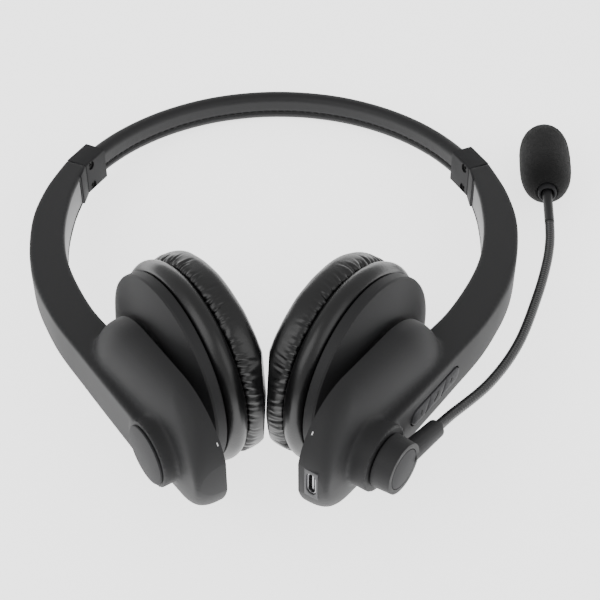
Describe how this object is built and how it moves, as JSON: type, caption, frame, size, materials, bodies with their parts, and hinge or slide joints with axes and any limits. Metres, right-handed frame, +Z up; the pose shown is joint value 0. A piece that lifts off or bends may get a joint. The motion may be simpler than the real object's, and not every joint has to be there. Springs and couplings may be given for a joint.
{
  "type": "office headset",
  "caption": "Wireless over-ear office headset with a padded band, height sliders, tilting ear cups and a swinging boom microphone, lying on its back.",
  "frame": {"origin": "on the surface the headset lies on, under the middle of its overall box", "axes": "+X to the side that carries the boom microphone, +Y from the ear cups towards the top of the band, +Z up out of the surface, towards the front of the headset"},
  "size_m": [0.223, 0.2302, 0.0779],
  "materials": {
    "spring_steel": "satin",
    "foam": "matt open-cell foam",
    "band_leatherette": "satin",
    "bracket_plastic": "fine texture",
    "black_screw": "black oxide",
    "casing_plastic": "soft-touch matt",
    "inner_plastic": "matt",
    "accent_plastic": "satin",
    "battery_foil": "foil",
    "board": "gloss",
    "port_metal": "satin",
    "lens": "clear",
    "bushing_nylon": "natural nylon",
    "speaker_metal": "satin",
    "cloth": "fine mesh",
    "cushion_leatherette": "gloss",
    "gooseneck_sleeve": "ribbed",
    "wind_foam": "open-cell foam",
    "key_rubber": "matt"
  },
  "bodies": {
    "headband": {"band_spring": "spring_steel", "band_padding": "foam", "band_sleeve": "band_leatherette", "left_bracket": "bracket_plastic", "right_bracket": "bracket_plastic", "bracket_screws": "black_screw", "left_slider_blade": "spring_steel", "right_slider_blade": "spring_steel"},
    "left_arm": {"left_arm_casing": "casing_plastic", "left_arm_liner": "casing_plastic", "left_end_cap": "accent_plastic", "left_shell_cover": "inner_plastic", "left_cover_screws": "black_screw", "battery": "battery_foil"},
    "right_arm": {"right_arm_casing": "casing_plastic", "right_arm_liner": "casing_plastic", "right_shell_cover": "inner_plastic", "right_cover_screws": "black_screw", "circuit_board": "board", "usb_socket": "port_metal", "usb_trim": "port_metal", "status_lens": "lens", "key_board": "board"},
    "boom": {"boom_knob": "casing_plastic", "boom_shaft": "spring_steel", "boom_clip": "spring_steel", "knob_disc": "accent_plastic", "gooseneck": "gooseneck_sleeve", "boom_ferrule": "inner_plastic", "mic_housing": "inner_plastic", "mic_capsule": "speaker_metal", "mic_foam": "wind_foam"},
    "volume_up_key": {"volume_up_key": "key_rubber"},
    "call_key": {"call_key": "key_rubber"},
    "volume_down_key": {"volume_down_key": "key_rubber"},
    "left_joint": {"left_joint_bushing": "bushing_nylon"},
    "left_cup": {"left_ball_stud": "spring_steel", "left_cup_housing": "casing_plastic", "left_baffle": "inner_plastic", "left_speaker": "speaker_metal", "left_speaker_cloth": "cloth", "left_cushion_skirt": "cushion_leatherette", "left_cushion_foam": "foam", "left_cushion_cover": "cushion_leatherette"},
    "right_joint": {"right_joint_bushing": "bushing_nylon"},
    "right_cup": {"right_ball_stud": "spring_steel", "right_cup_housing": "casing_plastic", "right_baffle": "inner_plastic", "right_speaker": "speaker_metal", "right_speaker_cloth": "cloth", "right_cushion_skirt": "cushion_leatherette", "right_cushion_foam": "foam", "right_cushion_cover": "cushion_leatherette"}
  },
  "joints": [
    {"name": "left_height_slide", "type": "slide", "parent": "headband", "child": "left_arm", "axis": [-0.0819, -0.9767, 0.1984], "range_m": [0, 0.02]},
    {"name": "right_height_slide", "type": "slide", "parent": "headband", "child": "right_arm", "axis": [0.0819, -0.9767, 0.1984], "range_m": [0, 0.02]},
    {"name": "left_cup_tilt", "type": "hinge", "parent": "left_arm", "child": "left_joint", "pos_m": [-0.056, -0.06303, 0.04149], "axis": [0, -0.199, -0.98], "range_deg": [0, 6]},
    {"name": "left_cup_swivel", "type": "hinge", "parent": "left_joint", "child": "left_cup", "pos_m": [-0.056, -0.06303, 0.04149], "axis": [-0.5736, 0.8028, -0.163], "range_deg": [-4, 4]},
    {"name": "right_cup_tilt", "type": "hinge", "parent": "right_arm", "child": "right_joint", "pos_m": [0.02574, -0.06303, 0.04149], "axis": [0, 0.199, 0.98], "range_deg": [0, 6]},
    {"name": "right_cup_swivel", "type": "hinge", "parent": "right_joint", "child": "right_cup", "pos_m": [0.02574, -0.06303, 0.04149], "axis": [0.5736, 0.8028, -0.163], "range_deg": [-4, 4]},
    {"name": "boom_pivot", "type": "hinge", "parent": "right_arm", "child": "boom", "pos_m": [0.02787, -0.10277, 0.04956], "axis": [0.8192, -0.5621, 0.1142], "range_deg": [-120, 150]},
    {"name": "volume_up_press", "type": "slide", "parent": "right_arm", "child": "volume_up_key", "axis": [-0.8192, 0.5621, -0.1142], "range_m": [0, 0.0005], "stiffness_N_per_m": 1200, "springref_m": -0.0003},
    {"name": "call_press", "type": "slide", "parent": "right_arm", "child": "call_key", "axis": [-0.8192, 0.5621, -0.1142], "range_m": [0, 0.0005], "stiffness_N_per_m": 1200, "springref_m": -0.0003},
    {"name": "volume_down_press", "type": "slide", "parent": "right_arm", "child": "volume_down_key", "axis": [-0.8192, 0.5621, -0.1142], "range_m": [0, 0.0005], "stiffness_N_per_m": 1200, "springref_m": -0.0003}
  ]
}
